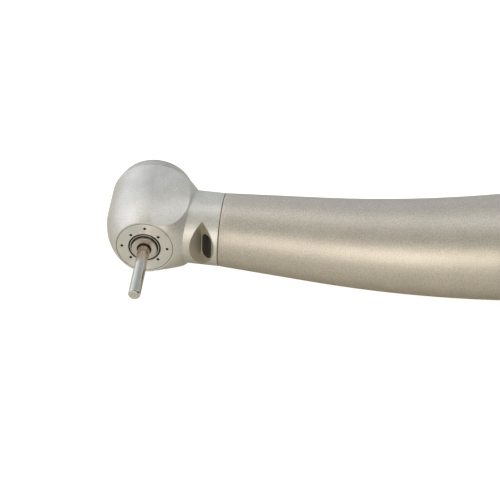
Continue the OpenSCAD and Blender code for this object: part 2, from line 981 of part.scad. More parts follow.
module handle_sheath() {
    rear = path_len - flange_t;
    outer = concat(
        [[neck_len, neck_r - seam_chamfer]],
        [for (i = [0 : outer_steps])
            let (s = neck_len + seam_chamfer + (rear - neck_len - seam_chamfer) * i / outer_steps)
            [s, radius_at(s)]]
    );
    inner_front = spigot_end + 0.5;
    inner = concat(
        [[rear, bore_at(rear)], [socket_zone + 0.1, bore_at(socket_zone + 0.1)]],
        [for (i = [inner_steps : -1 : 0])
            let (s = inner_front + (socket_zone - 1 - inner_front) * i / inner_steps)
            [s, bore_at(s)]],
        [[inner_front - 0.1, bore_at(inner_front - 0.1)], [neck_len, bore_at(neck_len)]]
    );
    rings = concat(outer, inner);
    points = [
        for (q = rings, k = [0 : sheath_sides - 1])
            around_path(q[0], q[1], k * 360 / sheath_sides)
    ];
    color(metal)
        polyhedron(points, ring_faces(len(rings), sheath_sides));
}

// Holes for the three tubes and the light guide, in the socket frame
module line_holes(gap, low, high) {
    for (line = [[drive_at, drive_od], [water_at, spray_od], [chip_at, spray_od], [guide_at, guide_d]])
        translate([line[0][1], line[0][0], low])
            cylinder(r = line[1] / 2 + gap, h = high - low);
}

module exhaust_hole(low, high) {
    translate([exhaust_at[1], exhaust_at[0], low])
        cylinder(d = exhaust_d, h = high - low);
    translate([0, exhaust_side, low])
        cylinder(d = exhaust_d, h = high - low);
}

module tube_spacer() {
    color(amber)
        at_socket()
            difference() {
                translate([0, 0, spacer_depth])
                    cylinder(r = spacer_r, h = spacer_t);
                line_holes(run_gap, spacer_depth - 1, spacer_depth + spacer_t + 1);
                exhaust_hole(spacer_depth - 1, spacer_depth + spacer_t + 1);
            }
}

module manifold() {
    color(brass)
        at_socket()
            difference() {
                union() {
                    translate([0, 0, socket_depth])
                        cylinder(r = manifold_r - run_gap, h = manifold_t);
                    translate([0, 0, socket_depth + manifold_plug + run_gap])
                        cylinder(r = socket_body_r - drop_gap, h = manifold_t - manifold_plug - run_gap);
                }
                line_holes(seat_gap, socket_depth - 1, manifold_end + 1);
                exhaust_hole(socket_depth - 1, manifold_end + 1);
                for (line = [[drive_at, drive_od], [water_at, spray_od], [chip_at, spray_od]])
                    translate([line[0][1], line[0][0], socket_depth - 1])
                        cylinder(r = line[1] / 2 + bush_wall, h = seal_depth + 1);
            }
}

// Rubber bushes where the coupler's three lines meet the manifold
module port_seals() {
    color(rubber)
        at_socket()
            for (line = [[drive_at, drive_od, drive_id], [water_at, spray_od, spray_id],
                         [chip_at, spray_od, spray_id]])
                translate([line[0][1], line[0][0], 0])
                    ring(line[2] / 2, line[1] / 2 + bush_wall - seat_gap,
                         socket_depth + run_gap, socket_depth + seal_depth - run_gap);
}

module coupling_socket() {
    rim = 0.3;
    groove_low = tail_ring_in - ring_groove_w / 2;
    groove_r = socket_body_r - 2 * ring_wire_r + run_gap;
    color(steel)
        at_socket()
            rotate_extrude()
                polygon([
                    [socket_r, 0], [tail_r - rim, 0], [tail_r, rim], [tail_r, flange_t],
                    [socket_body_r, flange_t], [socket_body_r, groove_low], [groove_r, groove_low],
                    [groove_r, groove_low + ring_groove_w], [socket_body_r, groove_low + ring_groove_w],
                    [socket_body_r, socket_depth + manifold_plug],
                    [manifold_r, socket_depth + manifold_plug], [manifold_r, socket_depth],
                    [socket_r, socket_depth], [socket_r, latch_depth + latch_w],
                    [socket_r + latch_cut, latch_depth + latch_w],
                    [socket_r + latch_cut, latch_depth], [socket_r, latch_depth]
                ]);
}

module sheath_seal() {
    color(rubber)
        at_socket()
            seal(socket_body_r - ring_wire_r + 2 * run_gap, ring_wire_r, tail_ring_in);
}

head_housing();
spray_plate();
dust_ring();
spindle();
impeller();
collet();
chuck_plunger();
bur_blank();
front_outer_ring();
front_inner_ring();
front_cage();
front_balls();
rear_outer_ring();
rear_inner_ring();
rear_cage();
rear_balls();
front_bearing_seal();
rear_bearing_seal();
preload_washer();
head_cap();
push_button();
button_ring();
button_spring();
light_window();
light_guide();
drive_air_tube();
water_tube();
chip_air_tube();
neck_seal();
handle_sheath();
tube_spacer();
manifold();
port_seals();
coupling_socket();
sheath_seal();
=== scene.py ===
# %% [markdown]
# # An air-turbine dental handpiece
# The object is a small turbine handpiece: a round head with a spray plate and a bur blank,
# a short neck with a light window in a notch, and a long handle that swells and bends.
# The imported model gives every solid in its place. This lesson dresses it: it keeps the solids
# whose shape is right, makes the others again with softer edges, and gives each one a finish.
# Everything is in metres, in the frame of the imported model.

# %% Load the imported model
import json
import math

import bmesh
import bpy
from mathutils import Matrix, Vector


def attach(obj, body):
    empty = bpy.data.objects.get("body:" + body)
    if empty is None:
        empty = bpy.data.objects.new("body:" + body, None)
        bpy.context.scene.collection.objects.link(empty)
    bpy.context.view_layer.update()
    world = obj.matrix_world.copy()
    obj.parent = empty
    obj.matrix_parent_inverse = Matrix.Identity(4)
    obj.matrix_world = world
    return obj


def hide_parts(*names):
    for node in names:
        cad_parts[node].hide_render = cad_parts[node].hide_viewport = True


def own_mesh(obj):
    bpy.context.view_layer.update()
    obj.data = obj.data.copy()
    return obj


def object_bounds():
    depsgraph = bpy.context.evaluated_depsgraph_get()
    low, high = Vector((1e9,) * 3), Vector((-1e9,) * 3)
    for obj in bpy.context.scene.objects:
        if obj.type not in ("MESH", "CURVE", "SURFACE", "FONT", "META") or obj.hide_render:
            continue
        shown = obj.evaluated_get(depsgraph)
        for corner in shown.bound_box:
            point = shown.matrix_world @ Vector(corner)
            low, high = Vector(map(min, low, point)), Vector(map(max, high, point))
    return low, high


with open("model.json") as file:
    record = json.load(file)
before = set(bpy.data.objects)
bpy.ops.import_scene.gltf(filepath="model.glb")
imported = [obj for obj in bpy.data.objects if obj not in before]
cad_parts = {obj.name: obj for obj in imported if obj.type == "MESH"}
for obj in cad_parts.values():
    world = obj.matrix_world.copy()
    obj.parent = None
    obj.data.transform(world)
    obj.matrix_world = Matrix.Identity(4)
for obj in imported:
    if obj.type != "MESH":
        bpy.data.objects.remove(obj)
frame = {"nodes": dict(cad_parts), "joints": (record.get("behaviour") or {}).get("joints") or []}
cad_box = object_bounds()
nodes = frame["nodes"]
mm = 0.001
print("solids in the packed model:", len(nodes))

# %% [markdown]
# ## The frame of the turbine
# Nearly every small piece of the head is turned round the rotor's axis. The rotor joint gives
# a point on that axis, the centre of the nose face, and its direction out of the nose. From
# these come two matrices: one for pieces on the rotor, one for pieces on the neck.

# %% Rotor and neck frames
spin_joint = next(joint for joint in frame["joints"] if joint["name"] == "rotor_spin")
nose = Vector(spin_joint["pos_m"])
out_of_nose = Vector(spin_joint["axis"]).normalized()
up = Vector((0, 0, 1))
to_cap = -out_of_nose
to_neck = to_cap.cross(up)


def place(origin, x_axis, y_axis, z_axis):
    """Matrix of a frame from its origin and its three axes."""
    turn = Matrix((x_axis, y_axis, z_axis)).transposed()
    return Matrix.Translation(origin) @ turn.to_4x4()


rotor_place = place(nose, to_neck, -up, to_cap)
neck_height = 5.69 * mm
neck_tilt = math.radians(2.54)
neck_turn = Matrix.Rotation(math.pi / 2 + neck_tilt, 4, "Y")
neck_place = rotor_place @ Matrix.Translation((0, 0, neck_height)) @ neck_turn
neck_axis = neck_place.to_3x3().col[2]
print("nose face at", [round(x / mm, 2) for x in nose], "mm")

# %% [markdown]
# ## The camera
# The photograph looks down on the nose from the front with a long lens, as product pictures
# do. The camera is placed from the nose: its direction, its distance, and the pixel on which
# the centre of the nose face falls. No shift is needed.

# %% Camera
view_rise = math.radians(36.935)
view_turn = math.radians(4.242)
view_roll = math.radians(2.06)
view_distance = 327.135 * mm
frame_px = 500
focal_px = 2500
nose_px = Vector((144.429, 247.303))
sensor_mm = 36
clip_near, clip_far = 0.01, 10

to_camera = (
    math.sin(view_turn) * math.cos(view_rise) * to_neck
    - math.cos(view_turn) * math.cos(view_rise) * to_cap
    + math.sin(view_rise) * up
)
flat_right = math.cos(view_turn) * to_neck + math.sin(view_turn) * to_cap
flat_up = to_camera.cross(flat_right)
right = math.cos(view_roll) * flat_right + math.sin(view_roll) * flat_up
above = math.cos(view_roll) * flat_up - math.sin(view_roll) * flat_right
off_right = (nose_px.x - frame_px / 2) / focal_px * view_distance
off_above = (frame_px / 2 - nose_px.y) / focal_px * view_distance
eye = nose - off_right * right - off_above * above + view_distance * to_camera

camera_data = bpy.data.cameras.new("camera")
camera_data.sensor_width = sensor_mm
camera_data.lens = sensor_mm * focal_px / frame_px
camera_data.clip_start = clip_near
camera_data.clip_end = clip_far
camera = bpy.data.objects.new("camera", camera_data)
camera.matrix_world = place(eye, right, above, to_camera)
bpy.context.scene.collection.objects.link(camera)
bpy.context.scene.camera = camera
print("lens", camera_data.lens, "mm, eye at", [round(x, 3) for x in eye])

# %% [markdown]
# ## Floor and light
# Blasted and satin metal shows little of its own colour: it shows soft pictures of what is
# round it. The photograph has a neutral light from above and a lower, warmer one from the
# front, which makes the bright band along the handle. Area lights give the same bands, and
# weaker ones behind and on both sides lift the edges. The world glows from a few sides, as a
# light tent does. The floor is a pale sheet under the widest part of the handle. The camera
# sees floor and world nearly white, while the metal sees them dimmer, so that it keeps its
# dark tones.

# %% Floor and world
floor_size = 4
floor_level = cad_box[0].z
floor_tone = (0.81, 0.78, 0.69, 1)
paper_rough = 0.9
paper_glow = 0.85
white = (1, 1, 1, 1)
tent_sides = [
    (up, (0.28, 0.275, 0.21)),
    (-to_neck, (0.76, 0.76, 0.77)),
    (to_cap, (0.255, 0.275, 0.31)),
    (to_neck, (0.08, 0.08, 0.08)),
]


def pale_floor(name, size, level):
    """A flat square that the object lies on, white to the camera and dimmer to the metal."""
    bm = bmesh.new()
    bmesh.ops.create_grid(bm, x_segments=1, y_segments=1, size=size / 2)
    bmesh.ops.translate(bm, vec=(0, 0, level), verts=bm.verts)
    mesh = bpy.data.meshes.new(name)
    bm.to_mesh(mesh)
    bm.free()
    sheet = bpy.data.objects.new(name, mesh)
    bpy.context.scene.collection.objects.link(sheet)
    paper = bpy.data.materials.new(name)
    paper.use_nodes = True
    tree = paper.node_tree
    shader = tree.nodes["Principled BSDF"]
    shader.inputs["Roughness"].default_value = paper_rough
    shader.inputs["Base Color"].default_value = floor_tone
    shader.inputs["Emission Color"].default_value = white
    seen = tree.nodes.new("ShaderNodeLightPath")
    glow = tree.nodes.new("ShaderNodeMath")
    glow.operation = "MULTIPLY"
    glow.inputs[1].default_value = paper_glow
    tree.links.new(seen.outputs["Is Camera Ray"], glow.inputs[0])
    tree.links.new(glow.outputs["Value"], shader.inputs["Emission Strength"])
    mesh.materials.append(paper)
    return sheet


pale_floor("floor", floor_size, floor_level)


def tent_world(name, sides):
    """A world that glows from a few sides, each fading with the angle, and is white to the camera."""
    world = bpy.data.worlds.new(name)
    world.use_nodes = True
    tree = world.node_tree
    direction = tree.nodes.new("ShaderNodeTexCoord").outputs["Generated"]
    glow = None
    for side, tone in sides:
        facing = tree.nodes.new("ShaderNodeVectorMath")
        facing.operation = "DOT_PRODUCT"
        facing.inputs[1].default_value = side
        tree.links.new(direction, facing.inputs[0])
        share = tree.nodes.new("ShaderNodeMath")
        share.operation = "MAXIMUM"
        share.inputs[1].default_value = 0
        tree.links.new(facing.outputs["Value"], share.inputs[0])
        lit = tree.nodes.new("ShaderNodeVectorMath")
        lit.operation = "MULTIPLY_ADD"
        lit.inputs[0].default_value = tone
        tree.links.new(share.outputs["Value"], lit.inputs[1])
        if glow:
            tree.links.new(glow, lit.inputs[2])
        glow = lit.outputs["Vector"]
    seen = tree.nodes.new("ShaderNodeLightPath")
    sky = tree.nodes.new("ShaderNodeMix")
    sky.data_type = "RGBA"
    sky.inputs[7].default_value = white
    tree.links.new(seen.outputs["Is Camera Ray"], sky.inputs[0])
    tree.links.new(glow, sky.inputs[6])
    tree.links.new(sky.outputs[2], tree.nodes["Background"].inputs["Color"])
    return world


bpy.context.scene.world = tent_world("tent", tent_sides)
bpy.context.scene.view_settings.view_transform = "Standard"
print("floor at", round(floor_level / mm, 2), "mm")

# %% Lights
light_distance = 0.5


def soft_light(name, direction, wide, high, radiance, colour):
    """An area light that faces the head, as bright as radiance at its surface."""
    lamp = bpy.data.lights.new(name, "AREA")
    lamp.shape = "RECTANGLE"
    lamp.size = wide
    lamp.size_y = high
    lamp.energy = radiance * math.pi * wide * high
    lamp.color = colour
    light = bpy.data.objects.new(name, lamp)
    toward = direction.normalized()
    side = toward.cross(up.cross(toward)).cross(toward).normalized()
    light.matrix_world = place(nose + light_distance * toward, side, toward.cross(side), toward)
    light.visible_camera = False
    bpy.context.scene.collection.objects.link(light)


def aimed(rise, turn=0.0):
    """Direction that rises by so many degrees from the front, turned toward the handle."""
    level = math.cos(math.radians(turn)) * out_of_nose + math.sin(math.radians(turn)) * to_neck
    return math.cos(math.radians(rise)) * level + math.sin(math.radians(rise)) * up


soft_light("front_light", aimed(9, 5), wide=0.36, high=0.34, radiance=2.2, colour=(1.0, 0.915, 0.78))
soft_light("top_light", aimed(98), wide=1.4, high=0.16, radiance=0.62, colour=(0.96, 0.94, 1.0))
soft_light("back_light", aimed(162), wide=1.4, high=0.2, radiance=0.2, colour=(0.9, 0.93, 1.0))
soft_light("right_light", aimed(50, 90), wide=0.4, high=0.4, radiance=0.65, colour=(0.92, 0.94, 1.0))
soft_light("left_light", aimed(40, -90), wide=0.4, high=0.4, radiance=0.2, colour=(1.0, 0.9, 0.9))

# %% [markdown]
# ## Finishes
# A finish is a small node tree. Each starts from Object coordinates in millimetres, so a
# pattern keeps its real scale, and each gives colour, roughness and a fine bump. Constant
# values sit on the shader itself.

# %% Node helpers
ray_samples = 8
fine_detail = 3.0


def finish(name):
    """A new material: its tree, its shader, and Object coordinates in millimetres."""
    material = bpy.data.materials.new(name)
    material.use_nodes = True
    tree = material.node_tree
    shader = tree.nodes["Principled BSDF"]
    coordinates = tree.nodes.new("ShaderNodeTexCoord")
    scale = tree.nodes.new("ShaderNodeMapping")
    scale.inputs["Scale"].default_value = (1 / mm, 1 / mm, 1 / mm)
    tree.links.new(coordinates.outputs["Object"], scale.inputs["Vector"])
    return material, tree, shader, scale.outputs["Vector"]


def noise(tree, vector, per_mm, detail=2.0):
    """Grey noise with so many lumps to a millimetre."""
    node = tree.nodes.new("ShaderNodeTexNoise")
    node.inputs["Scale"].default_value = per_mm
    node.inputs["Detail"].default_value = detail
    tree.links.new(vector, node.inputs["Vector"])
    return node.outputs["Fac"]


def between(tree, value, low, high, source_low=0.3, source_high=0.7):
    """A value carried over to the range from low to high."""
    node = tree.nodes.new("ShaderNodeMapRange")
    node.inputs["From Min"].default_value = source_low
    node.inputs["From Max"].default_value = source_high
    node.inputs["To Min"].default_value = low
    node.inputs["To Max"].default_value = high
    tree.links.new(value, node.inputs["Value"])
    return node.outputs["Result"]


def shared(tree, first, second, share):
    """Two values in one, the second with a fixed share."""
    node = tree.nodes.new("ShaderNodeMix")
    node.data_type = "FLOAT"
    node.inputs[0].default_value = share
    tree.links.new(first, node.inputs[2])
    tree.links.new(second, node.inputs[3])
    return node.outputs[0]


def mixed(tree, value, first, second):
    """A colour between two, by a value from 0 to 1. Each is a fixed tone or a node's output."""
    node = tree.nodes.new("ShaderNodeMix")
    node.data_type = "RGBA"
    tree.links.new(value, node.inputs[0])
    for socket, colour in ((node.inputs[6], first), (node.inputs[7], second)):
        if isinstance(colour, tuple):
            socket.default_value = (*colour, 1)
        else:
            tree.links.new(colour, socket)
    return node.outputs[2]


def product(tree, first, second):
    """Two values multiplied. The second is a fixed number or a node's output."""
    node = tree.nodes.new("ShaderNodeMath")
    node.operation = "MULTIPLY"
    tree.links.new(first, node.inputs[0])
    if isinstance(second, float):
        node.inputs[1].default_value = second
    else:
        tree.links.new(second, node.inputs[1])
    return node.outputs["Value"]


def measured(tree, operation, vector, fixed=(0, 0, 0)):
    """A vector operation whose second vector is fixed."""
    node = tree.nodes.new("ShaderNodeVectorMath")
    node.operation = operation
    node.inputs[1].default_value = fixed
    tree.links.new(vector, node.inputs[0])
    return node.outputs["Value" if operation in ("LENGTH", "DOT_PRODUCT") else "Vector"]


def uneven_rough(tree, shader, value, rough, below, above):
    """A roughness that follows a value, from a little below its mean to a little above."""
    tree.links.new(between(tree, value, rough - below, rough + above), shader.inputs["Roughness"])


def bump(tree, shader, height, depth, edge=0.0):
    """Fine relief of so many millimetres, over edges softened by a radius in millimetres."""
    node = tree.nodes.new("ShaderNodeBump")
    node.inputs["Distance"].default_value = depth * mm
    tree.links.new(height, node.inputs["Height"])
    if edge > 0:
        soft_edge = tree.nodes.new("ShaderNodeBevel")
        soft_edge.samples = ray_samples
        soft_edge.inputs["Radius"].default_value = edge * mm
        tree.links.new(soft_edge.outputs["Normal"], node.inputs["Normal"])
    tree.links.new(node.outputs["Normal"], shader.inputs["Normal"])


def painted_shade_inside(tree, tone, shade_colour, reach, closed, open_air):
    """Painted shade: a tone that turns into a darker one where the surface is shut in, such as in a hole
    or an inner corner.
    """
    shelter = tree.nodes.new("ShaderNodeAmbientOcclusion")
    shelter.samples = ray_samples
    shelter.inputs["Distance"].default_value = reach * mm
    return mixed(tree, between(tree, shelter.outputs["AO"], 0, 1, closed, open_air), shade_colour, tone)


def tint(tone, factor):
    """A tone made darker or lighter."""
    return tuple(min(1.0, factor * x) for x in tone)


# %% [markdown]
# ### Blasted metal
# The head is bead-blasted: tiny round dents, each a sixth of a millimetre wide, scatter the
# light and speckle the surface. A fine noise makes the dents, and a broad one makes the tone
# uneven, as on a part that has been handled. Shade is painted in too: inner corners and creases
# turn brown by how shut in they are, and what lies inside the round of the neck, the notch, is
# painted darker.

# %% Blasted head metal
grain_range = (0.38, 0.62)
blast_spread = (0.05, 0.06)
blast_cloud_per_mm, dents_per_mm, dents_share, dent_depth = 0.5, 6.0, 0.65, 0.02
blast_dark, blast_light = 0.89, 1.08
# Painted shade in inner corners and creases: its reach in millimetres, its thresholds and its brown.
corner_shade_reach, corner_shade_closed, corner_shade_open = 3.0, 0.55, 0.9
corner_shade_tone = (0.28, 0.25, 0.19)
# Painted shade on the notch: where it starts along the neck, how far inside the round, and its tone.
notch_shade_along = (5.2, 5.5)
notch_shade_away = (4.86, 4.8)
notch_shade_tone = (0.57, 0.53, 0.455)


def inside_neck(tree, vector):
    """1 on faces inside the round of the neck, such as those of the notch, and 0 elsewhere."""
    offset = measured(tree, "SUBTRACT", vector, neck_place.translation / mm)
    along = measured(tree, "DOT_PRODUCT", offset, neck_axis)
    away = measured(tree, "LENGTH", measured(tree, "CROSS_PRODUCT", offset, neck_axis))
    behind_head = between(tree, along, 0, 1, *notch_shade_along)
    below_skin = between(tree, away, 0, 1, *notch_shade_away)
    return product(tree, behind_head, below_skin)


def blasted_metal(name, tone, rough, edge):
    """Blasted metal with painted shade, brown in its inner corners and darker in the notch."""
    material, tree, shader, vector = finish(name)
    shader.inputs["Metallic"].default_value = 1.0
    cloud = noise(tree, vector, blast_cloud_per_mm, fine_detail)
    dents = noise(tree, vector, dents_per_mm, fine_detail)
    grain = between(tree, shared(tree, cloud, dents, dents_share), 0, 1, *grain_range)
    open_tone = mixed(tree, grain, tint(tone, blast_dark), tint(tone, blast_light))
    # Painted shade in inner corners and creases.
    corner_shaded_tone = painted_shade_inside(tree, open_tone, corner_shade_tone, corner_shade_reach, corner_shade_closed, corner_shade_open)
    # Painted shade on the notch faces inside the round of the neck.
    colour = mixed(tree, inside_neck(tree, vector), corner_shaded_tone, notch_shade_tone)
    tree.links.new(colour, shader.inputs["Base Color"])
    uneven_rough(tree, shader, dents, rough, *blast_spread)
    bump(tree, shader, dents, dent_depth, edge)
    return material


silver = (0.87, 0.865, 0.845)
# The cap's taper faces away from the light, so its metal is a darker copy of the head's: painted shade.
cap_painted_shade = 0.88
head_metal = blasted_metal("head_metal", silver, rough=0.46, edge=0.12)
cap_metal = blasted_metal("cap_metal", tint(silver, cap_painted_shade), rough=0.44, edge=0.0)
print("made", head_metal.name, "and", cap_metal.name)

# %% [markdown]
# ### Satin handle metal
# The handle is brushed while it turns and then blasted, so faint hairs run round it under a
# fine speckle. The hairs are noise stretched round the handle: fast along the handle, slow
# across. The distance along the handle comes from an attribute of the mesh, since the handle
# bends.

# %% Satin handle metal
along_name = "along"
hairs_along, hairs_across = 7.0, 0.9
satin_cloud_per_mm, specks_per_mm, specks_share, specks_in_relief = 0.25, 6.5, 0.88, 0.7
satin_dark, satin_light, satin_depth = 0.85, 1.11, 0.03


def satin_metal(name, tone, rough):
    """Satin metal of a turned tube, with faint hairs round it under a fine speckle."""
    material, tree, shader, vector = finish(name)
    shader.inputs["Metallic"].default_value = 1.0
    along = tree.nodes.new("ShaderNodeAttribute")
    along.attribute_name = along_name
    split = tree.nodes.new("ShaderNodeSeparateXYZ")
    tree.links.new(vector, split.inputs["Vector"])
    stretched = tree.nodes.new("ShaderNodeCombineXYZ")
    tree.links.new(product(tree, along.outputs["Fac"], hairs_along), stretched.inputs["X"])
    for axis in "YZ":
        tree.links.new(product(tree, split.outputs[axis], hairs_across), stretched.inputs[axis])
    hairs = noise(tree, stretched.outputs["Vector"], 1.0)
    specks = noise(tree, vector, specks_per_mm, fine_detail)
    cloud = noise(tree, vector, satin_cloud_per_mm, fine_detail)
    grain = between(tree, shared(tree, cloud, specks, specks_share), 0, 1, *grain_range)
    colour = mixed(tree, grain, tint(tone, satin_dark), tint(tone, satin_light))
    tree.links.new(colour, shader.inputs["Base Color"])
    uneven_rough(tree, shader, specks, rough, *blast_spread)
    bump(tree, shader, shared(tree, hairs, specks, specks_in_relief), satin_depth)
    return material


champagne = (0.755, 0.712, 0.655)
sheath_metal = satin_metal("sheath_metal", champagne, rough=0.45)
print("made", sheath_metal.name)

# %% [markdown]
# ### Turned metal
# Spray plate, dust ring, spindle, bur blank and button come off a lathe. Their faces carry
# rings round the rotor axis, and such rings pull every highlight into a streak across them.
# The rings are noise of the distance from the axis and of the height along it. The shader's
# anisotropy, turned a quarter from the tangent round the axis, draws the streaks.

# %% Turned metal
quarter_turn = 0.25
lathe_spread = (0.06, 0.08)
rings_per_mm, ring_depth = 14.0, 0.004
stains_per_mm, stain_dark, stain_light = 0.8, 0.93, 1.03
# Painted shade in holes and bores: its reach in millimetres and its thresholds.
hole_shade_reach, hole_shade_closed, hole_shade_open = 0.4, 0.45, 0.85
# Painted reflection of the warm nose on the pin: the heights, in millimetres from the nose, over which it
# fades in.
reflection_fade = (-4.2, -2.9)


def turned_metal(name, tone, hole_shade_tone, rough, streak, edge, reflection_tone=None):
    """Turned metal with painted shade in its holes. A painted reflection tone starts a few millimetres
    before the nose.
    """
    material, tree, shader, vector = finish(name)
    shader.inputs["Metallic"].default_value = 1.0
    shader.inputs["Anisotropic"].default_value = streak
    shader.inputs["Anisotropic Rotation"].default_value = quarter_turn
    centre = measured(tree, "SUBTRACT", vector, nose / mm)
    around = measured(tree, "CROSS_PRODUCT", centre, to_cap)
    tree.links.new(around, shader.inputs["Tangent"])
    height = measured(tree, "DOT_PRODUCT", centre, to_cap)
    section = tree.nodes.new("ShaderNodeCombineXYZ")
    tree.links.new(measured(tree, "LENGTH", around), section.inputs["X"])
    tree.links.new(height, section.inputs["Y"])
    rings = noise(tree, section.outputs["Vector"], rings_per_mm)
    stains = between(tree, noise(tree, vector, stains_per_mm, fine_detail), 0, 1)
    colour = mixed(tree, stains, tint(tone, stain_dark), tint(tone, stain_light))
    # Painted warm reflection of the nose, with painted shade, near and in the chuck.
    if reflection_tone:
        colour = mixed(tree, between(tree, height, 0, 1, *reflection_fade), colour, reflection_tone)
    # Painted shade: holes and bores turn to the hole tone.
    colour = painted_shade_inside(tree, colour, hole_shade_tone, hole_shade_reach, hole_shade_closed, hole_shade_open)
    tree.links.new(colour, shader.inputs["Base Color"])
    uneven_rough(tree, shader, rings, rough, *lathe_spread)
    bump(tree, shader, rings, ring_depth, edge)
    return material


# Hole tones are painted shade: black, or brown where the nose's warm reflection is painted too.
black = (0.012, 0.011, 0.010)
brown = (0.34, 0.27, 0.19)
# Painted warm reflection of the nose, with painted shade, for the pin near the chuck.
nose_reflection_brown = (0.48, 0.42, 0.355)
plate_metal = turned_metal("plate_metal", (0.98, 0.97, 0.96), black, rough=0.34, streak=0.9, edge=0.05)
dust_metal = turned_metal("dust_metal", (0.66, 0.65, 0.63), black, rough=0.28, streak=0.5, edge=0.04)
spindle_steel = turned_metal("spindle_steel", (0.77, 0.74, 0.69), brown, rough=0.3, streak=0.4, edge=0.04)
blank_steel = turned_metal(
    "blank_steel", (0.79, 0.79, 0.78), brown, rough=0.17, streak=0.3, edge=0.0, reflection_tone=nose_reflection_brown,
)
button_metal = turned_metal("button_metal", (0.78, 0.78, 0.77), black, rough=0.34, streak=0.5, edge=0.05)
print("made five turned finishes")

# %% [markdown]
# ### Dark window and inner finishes
# The light window is the polished end of a fused bundle of glass fibres. With no light in
# it, it is nearly black and glossy, with a fine cell pattern. The inner pieces get the
# finish of what they are made of: ground steel, phenolic resin, brass, rubber.

# %% Window and inner finishes
cells_per_mm, cell_reach, smears_per_mm, glass_rough = 14.0, 0.6, 3.0, 0.12
glass_spread = (0.04, 0.04)
scratches_per_mm, scratch_depth = 12.0, 0.003
patches_per_mm, patch_dark, patch_light = 1.0, 0.93, 1.04
mould_spread = (0.07, 0.07)
lump_depth = 0.006


def fibre_glass(name, dark, light):
    """Polished end of a fibre bundle, with a cell for each fibre."""
    material, tree, shader, vector = finish(name)
    cells = tree.nodes.new("ShaderNodeTexVoronoi")
    cells.inputs["Scale"].default_value = cells_per_mm
    tree.links.new(vector, cells.inputs["Vector"])
    from_middle = between(tree, cells.outputs["Distance"], 0, 1, 0.0, cell_reach)
    tree.links.new(mixed(tree, from_middle, dark, light), shader.inputs["Base Color"])
    uneven_rough(tree, shader, noise(tree, vector, smears_per_mm), glass_rough, *glass_spread)
    return material


def ground_metal(name, tone, rough):
    """Ground metal with fine scratches and slightly uneven tone."""
    material, tree, shader, vector = finish(name)
    shader.inputs["Metallic"].default_value = 1.0
    scratches = noise(tree, vector, scratches_per_mm, fine_detail)
    patches = between(tree, noise(tree, vector, patches_per_mm), 0, 1)
    colour = mixed(tree, patches, tint(tone, patch_dark), tint(tone, patch_light))
    tree.links.new(colour, shader.inputs["Base Color"])
    uneven_rough(tree, shader, scratches, rough, *lathe_spread)
    bump(tree, shader, scratches, scratch_depth)
    return material


def moulded(name, dark, light, rough, per_mm):
    """Resin or rubber with so many soft lumps to a millimetre."""
    material, tree, shader, vector = finish(name)
    lumps = noise(tree, vector, per_mm, fine_detail)
    colour = mixed(tree, between(tree, lumps, 0, 1), dark, light)
    tree.links.new(colour, shader.inputs["Base Color"])
    uneven_rough(tree, shader, lumps, rough, *mould_spread)
    bump(tree, shader, lumps, lump_depth)
    return material


finishes = {
    "head_metal": head_metal,
    "cap_metal": cap_metal,
    "button_metal": button_metal,
    "plate_metal": plate_metal,
    "dust_metal": dust_metal,
    "spindle_steel": spindle_steel,
    "blank_steel": blank_steel,
    "sheath_metal": sheath_metal,
    "window_glass": fibre_glass("window_glass", (0.003, 0.003, 0.002), (0.009, 0.008, 0.007)),
    "guide_glass": fibre_glass("guide_glass", (0.42, 0.36, 0.27), (0.62, 0.55, 0.43)),
    "chuck_steel": ground_metal("chuck_steel", (0.62, 0.61, 0.59), rough=0.3),
    "bearing_steel": ground_metal("bearing_steel", (0.74, 0.74, 0.75), rough=0.16),
    "spring_steel": ground_metal("spring_steel", (0.58, 0.57, 0.56), rough=0.3),
    "impeller_alloy": ground_metal("impeller_alloy", (0.80, 0.80, 0.81), rough=0.36),
    "tube_steel": ground_metal("tube_steel", (0.70, 0.70, 0.70), rough=0.28),
    "manifold_brass": ground_metal("manifold_brass", (0.80, 0.66, 0.38), rough=0.32),
    "socket_steel": ground_metal("socket_steel", (0.72, 0.72, 0.71), rough=0.26),
    "cage_resin": moulded("cage_resin", (0.30, 0.17, 0.07), (0.44, 0.27, 0.12), rough=0.5, per_mm=6.0),
    "spacer_resin": moulded("spacer_resin", (0.50, 0.43, 0.33), (0.60, 0.53, 0.42), rough=0.5, per_mm=5.0),
    "seal_rubber": moulded(
        "seal_rubber", (0.012, 0.012, 0.013), (0.03, 0.03, 0.032), rough=0.55, per_mm=6.0,
    ),
}
for solid in nodes.values():
    for place_in_list, old in enumerate(solid.data.materials):
        solid.data.materials[place_in_list] = finishes[old.name.split(".")[0]]
print("finishes:", len(finishes))

# %% [markdown]
# ## The handle
# The handle is one tube: a cone behind the neck, a slow swell to the widest place, and a
# slight fall to the rear, bent by 20 degrees on the way. A curve with a bevel could make it,
# but the radius follows its own law, so a circle is extruded from station to station along
# the path instead. Each ring keeps its distance along the handle as an attribute.

# %% Path and radius of the handle
bend = math.radians(20)
bend_radius = 108 * mm
neck_run = 22.4 * mm
tail_run = 46 * mm
arc_run = bend_radius * bend
path_length = neck_run + arc_run + tail_run
neck_length = 9.74 * mm
neck_radius = 4.87 * mm
widest_radius = 7.7 * mm
widest_run = 66 * mm
crown_run = 16 * mm
tail_radius = 6.9 * mm
wall = 0.8 * mm
flange = 1.2 * mm
taper = (widest_radius - neck_radius) / (widest_run - crown_run / 2 - neck_length)


def skin_radius(run):
    """Outer radius of the handle at a distance from the rotor axis."""
    if run < widest_run - crown_run:
        return neck_radius + taper * (run - neck_length)
    if run < widest_run:
        return widest_radius - taper / (2 * crown_run) * (widest_run - run) ** 2
    fall = (run - widest_run) / (path_length - widest_run)
    return widest_radius - (widest_radius - tail_radius) * fall ** 2


def bend_point(turn):
    """Point of the handle's bend where its path still has so far to turn."""
    return Vector((-tail_run - bend_radius * math.sin(turn), bend_radius * (1 - math.cos(turn)), 0))


